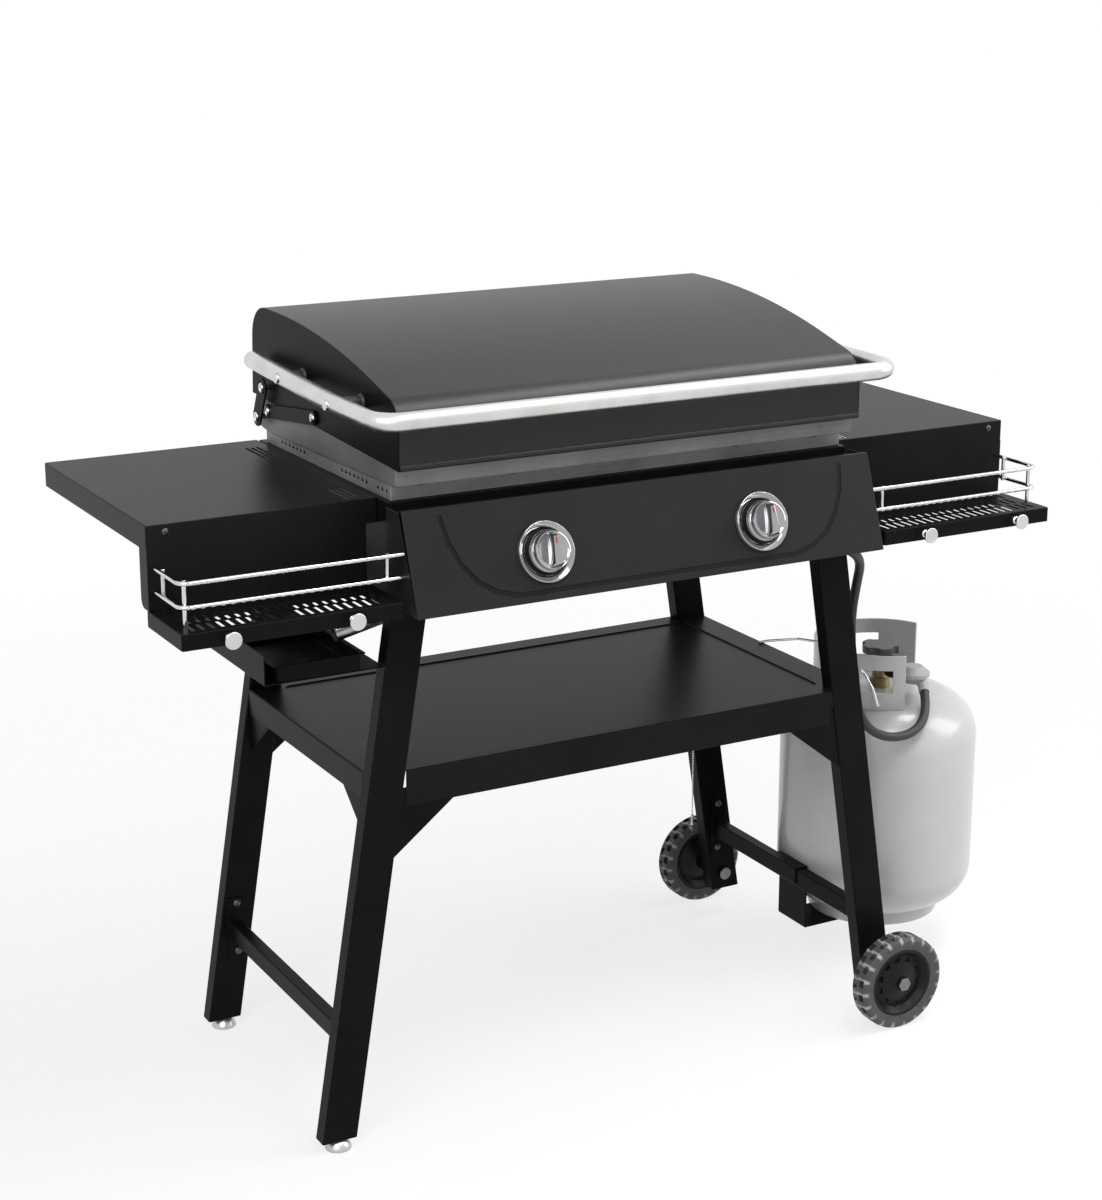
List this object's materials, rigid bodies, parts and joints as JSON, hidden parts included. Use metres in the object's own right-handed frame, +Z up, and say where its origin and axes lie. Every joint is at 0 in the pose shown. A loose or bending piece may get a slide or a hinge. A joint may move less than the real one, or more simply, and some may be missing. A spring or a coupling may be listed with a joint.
{
  "type": "outdoor gas griddle station",
  "caption": "Gas griddle under a linked lift-back lid, on a splayed cart with side tables, wire-railed caddies, a lower shelf, wheels and a hung gas cylinder",
  "frame": {"origin": "on the floor, under the middle of the whole station", "axes": "+X to the right seen from the front, +Y to the back, +Z up"},
  "size_m": [1.4138, 0.6207, 1.08],
  "materials": {
    "black_paint": "satin black powder coat",
    "zinc_steel": "dull plated steel",
    "bright_chrome": "bright plated",
    "plate_steel": "dark seasoned steel",
    "burner_steel": "plain stainless",
    "ceramic_white": "matt ceramic",
    "valve_brass": "plain brass",
    "cylinder_paint": "light grey gloss paint",
    "tread": "grey solid rubber",
    "hub_plastic": "black moulded plastic",
    "regulator_grey": "cast grey",
    "hose_rubber": "black rubber"
  },
  "bodies": {
    "cart": {"leg_front_left": "black_paint", "leg_rear_left": "black_paint", "leg_front_right": "black_paint", "leg_rear_right": "black_paint", "crossbar_left": "black_paint", "crossbar_right": "black_paint", "lower_shelf": "black_paint", "shelf_gussets": "black_paint", "firebox": "black_paint", "front_rail": "black_paint", "control_panel": "black_paint", "table_left": "black_paint", "table_right": "black_paint", "caddy_left": "black_paint", "caddy_right": "black_paint", "tray_guide": "black_paint", "tank_hanger": "black_paint", "burner_shield": "black_paint", "leg_fittings": "zinc_steel", "axle_bolts": "zinc_steel", "grease_chute": "zinc_steel", "manifold": "zinc_steel", "knob_bezels": "bright_chrome", "rails_left": "bright_chrome", "rails_right": "bright_chrome", "tool_hooks": "bright_chrome", "hinge_bolts": "bright_chrome", "cart_bolts": "bright_chrome", "tank_wire": "bright_chrome", "match_chain": "bright_chrome", "griddle_plate": "plate_steel", "griddle_skirt": "plate_steel", "burner_left": "burner_steel", "burner_right": "burner_steel", "igniters": "ceramic_white", "gas_valves": "valve_brass", "cylinder_valve": "valve_brass", "gas_cylinder": "cylinder_paint", "cylinder_rings": "cylinder_paint", "regulator": "regulator_grey", "gas_hose": "hose_rubber"},
    "lid": {"lid_top": "black_paint", "lid_ends": "black_paint", "lid_handle": "bright_chrome", "lid_fasteners": "bright_chrome"},
    "front_link_pair": {"front_links": "black_paint"},
    "rear_link_pair": {"rear_links": "black_paint"},
    "stem_left": {"valve_stem_left": "burner_steel"},
    "stem_right": {"valve_stem_right": "burner_steel"},
    "knob_left_turning": {"knob_left": "bright_chrome"},
    "knob_right_turning": {"knob_right": "bright_chrome"},
    "wheel_front": {"tyre_front": "tread", "hub_front": "hub_plastic"},
    "wheel_rear": {"tyre_rear": "tread", "hub_rear": "hub_plastic"},
    "screw_foot_front": {"foot_front": "bright_chrome"},
    "screw_foot_rear": {"foot_rear": "bright_chrome"},
    "sliding_tray": {"drip_tray": "black_paint"},
    "cylinder_handwheel": {"valve_handwheel": "hub_plastic"},
    "hand_nut": {"coupling_nut": "hub_plastic"}
  },
  "joints": [
    {"name": "front_link_hinge", "type": "hinge", "parent": "cart", "child": "front_link_pair", "pos_m": [-0.0393, 0.1909, 0.936], "axis": [-1, 0, 0], "range_deg": [0, 96.5]},
    {"name": "lid_hinge", "type": "hinge", "parent": "front_link_pair", "child": "lid", "pos_m": [-0.0393, 0.0324, 0.9544], "axis": [-1, 0, 0], "range_deg": [-14.5, 0]},
    {"name": "rear_link_hinge", "type": "hinge", "parent": "cart", "child": "rear_link_pair", "pos_m": [-0.0393, 0.215, 0.9245], "axis": [-1, 0, 0], "range_deg": [0, 98.5]},
    {"name": "knob_left_push", "type": "slide", "parent": "cart", "child": "stem_left", "axis": [0, 0.9413, -0.3374], "range_m": [0, 0.003], "stiffness_N_per_m": 2000, "springref_m": -0.001},
    {"name": "knob_left_turn", "type": "hinge", "parent": "stem_left", "child": "knob_left_turning", "pos_m": [-0.2063, -0.27496, 0.81542], "axis": [0, -0.9413, 0.3374], "range_deg": [0, 170]},
    {"name": "knob_right_push", "type": "slide", "parent": "cart", "child": "stem_right", "axis": [0, 0.9413, -0.3374], "range_m": [0, 0.003], "stiffness_N_per_m": 2000, "springref_m": -0.001},
    {"name": "knob_right_turn", "type": "hinge", "parent": "stem_right", "child": "knob_right_turning", "pos_m": [0.1277, -0.27496, 0.81542], "axis": [0, -0.9413, 0.3374], "range_deg": [0, 170]},
    {"name": "wheel_front_spin", "type": "hinge", "parent": "cart", "child": "wheel_front", "pos_m": [0.39944, -0.259, 0.072], "axis": [0, 1, 0], "continuous": true},
    {"name": "foot_front_screw", "type": "slide", "parent": "cart", "child": "screw_foot_front", "axis": [0, 0, 1], "range_m": [-0.012, 0]},
    {"name": "wheel_rear_spin", "type": "hinge", "parent": "cart", "child": "wheel_rear", "pos_m": [0.39944, 0.289, 0.072], "axis": [0, 1, 0], "continuous": true},
    {"name": "foot_rear_screw", "type": "slide", "parent": "cart", "child": "screw_foot_rear", "axis": [0, 0, 1], "range_m": [-0.012, 0]},
    {"name": "tray_slide", "type": "slide", "parent": "cart", "child": "sliding_tray", "axis": [0, -1, 0], "range_m": [0, 0.15]},
    {"name": "cylinder_valve_turn", "type": "hinge", "parent": "cart", "child": "cylinder_handwheel", "pos_m": [0.5527, 0.01, 0.49], "axis": [0, 0, 1], "range_deg": [0, 540]},
    {"name": "coupling_turn", "type": "hinge", "parent": "cart", "child": "hand_nut", "pos_m": [0.559, -0.02239, 0.47], "axis": [0.1908, -0.9816, 0], "continuous": true}
  ],
  "couplings": [
    {"joint": "lid_hinge", "follows": "front_link_hinge", "ratio": -0.15},
    {"joint": "rear_link_hinge", "follows": "front_link_hinge", "ratio": 1.02}
  ]
}
